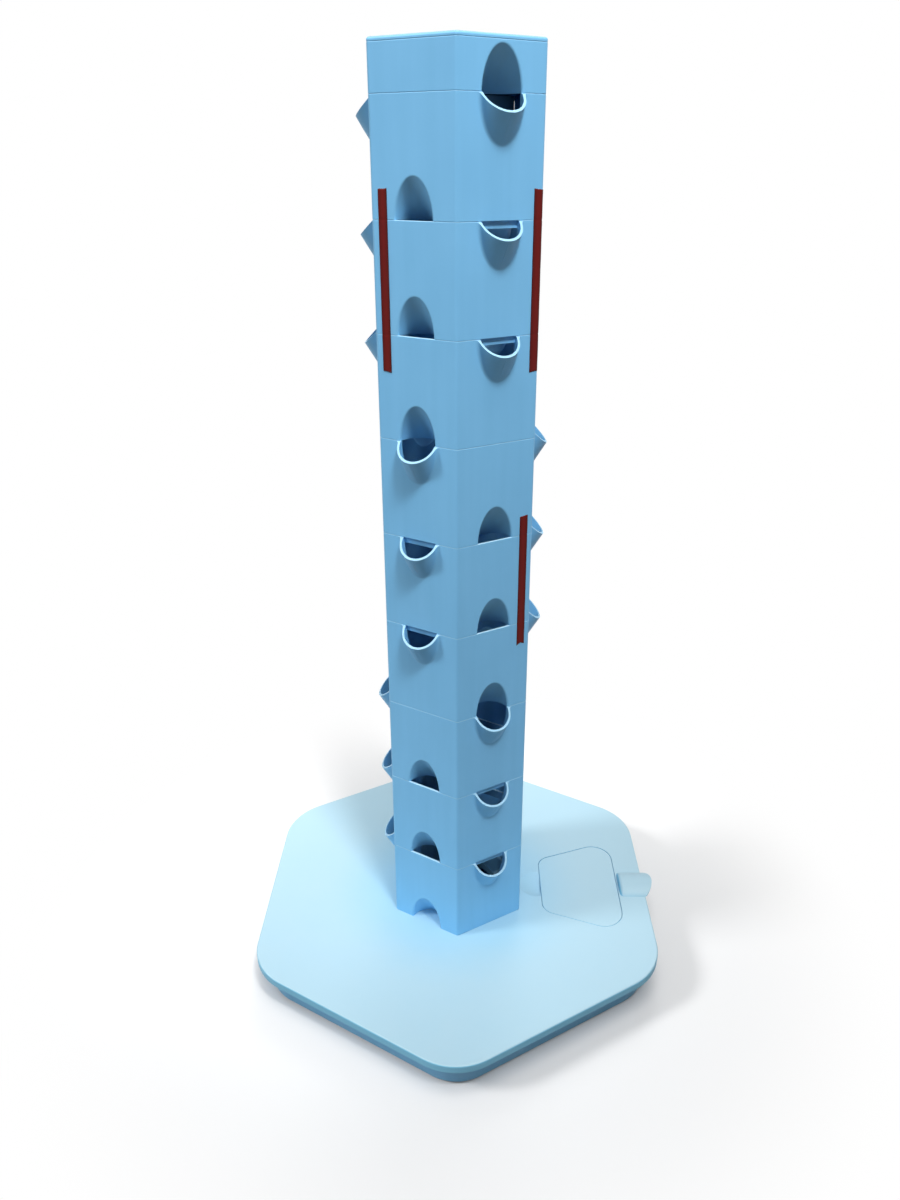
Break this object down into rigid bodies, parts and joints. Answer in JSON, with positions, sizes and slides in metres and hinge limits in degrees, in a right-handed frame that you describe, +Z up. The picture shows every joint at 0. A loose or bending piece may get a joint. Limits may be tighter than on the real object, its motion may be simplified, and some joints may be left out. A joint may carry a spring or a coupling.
{
  "type": "hydroponic tower",
  "caption": "Column of stacked hexagonal planting sections with slanted pot cups, standing on a flat hexagonal reservoir with a pump, riser and fill hatch.",
  "frame": {"origin": "on the floor, under the tower's axis", "axes": "+Z up along the tower's axis; +X towards the fill hatch and cord hood; -Y towards the corner that faces the viewer"},
  "size_m": [0.628, 0.6822, 1.2874],
  "materials": {
    "blue_plastic": "satin",
    "black_plastic": "satin",
    "black_rubber": "matte",
    "black_pipe": "satin",
    "shaft_steel": "polished",
    "impeller_magnet": "matte",
    "red_tape": "satin"
  },
  "bodies": {
    "base": {"reservoir_tray": "blue_plastic", "rubber_feet": "black_rubber", "pump_housing": "black_plastic", "pump_cover": "black_plastic", "pump_shaft": "shaft_steel", "suction_feet": "black_rubber", "cable_gland": "black_rubber", "riser_pipe_1": "black_pipe", "riser_pipe_2": "black_pipe", "riser_pipe_3": "black_pipe", "riser_coupling_1": "black_pipe", "riser_coupling_2": "black_pipe", "drip_head": "blue_plastic", "spray_cap": "black_pipe"},
    "impeller": {"pump_impeller": "impeller_magnet"},
    "strainer": {"intake_strainer": "black_plastic"},
    "lid": {"base_lid": "blue_plastic", "cord_hood": "blue_plastic"},
    "hatch": {"fill_hatch": "blue_plastic"},
    "section_9": {"tower_section_9": "blue_plastic"},
    "section_8": {"tower_section_8": "blue_plastic"},
    "section_7": {"tower_section_7": "blue_plastic"},
    "middle_stack": {"tower_section_4": "blue_plastic", "tower_section_5": "blue_plastic", "tower_section_6": "blue_plastic", "tape_strip_lower": "red_tape"},
    "upper_stack": {"tower_section_1": "blue_plastic", "tower_section_2": "blue_plastic", "tower_section_3": "blue_plastic", "tape_strip_left": "red_tape", "tape_strip_right": "red_tape"},
    "collar": {"top_collar": "blue_plastic"},
    "cover": {"top_cover": "blue_plastic"}
  },
  "joints": [
    {"name": "lid_lift", "type": "slide", "parent": "base", "child": "lid", "axis": [0, 0, 1], "range_m": [0, 0.04]},
    {"name": "hatch_lift", "type": "slide", "parent": "lid", "child": "hatch", "axis": [0, 0, 1], "range_m": [0, 0.04]},
    {"name": "section_9_lift", "type": "slide", "parent": "lid", "child": "section_9", "axis": [0, 0, 1], "range_m": [0, 0.03]},
    {"name": "section_8_lift", "type": "slide", "parent": "section_9", "child": "section_8", "axis": [0, 0, 1], "range_m": [0, 0.03]},
    {"name": "section_7_lift", "type": "slide", "parent": "section_8", "child": "section_7", "axis": [0, 0, 1], "range_m": [0, 0.03]},
    {"name": "middle_stack_lift", "type": "slide", "parent": "section_7", "child": "middle_stack", "axis": [0, 0, 1], "range_m": [0, 0.03]},
    {"name": "upper_stack_lift", "type": "slide", "parent": "middle_stack", "child": "upper_stack", "axis": [0, 0, 1], "range_m": [0, 0.03]},
    {"name": "collar_lift", "type": "slide", "parent": "upper_stack", "child": "collar", "axis": [0, 0, 1], "range_m": [0, 0.03]},
    {"name": "cover_lift", "type": "slide", "parent": "collar", "child": "cover", "axis": [0, 0, 1], "range_m": [0, 0.03]},
    {"name": "strainer_pull", "type": "slide", "parent": "base", "child": "strainer", "axis": [0, -1, 0], "range_m": [0, 0.03]},
    {"name": "impeller_spin", "type": "hinge", "parent": "base", "child": "impeller", "pos_m": [0, 0, 0.0285], "axis": [0, 1, 0], "continuous": true}
  ]
}
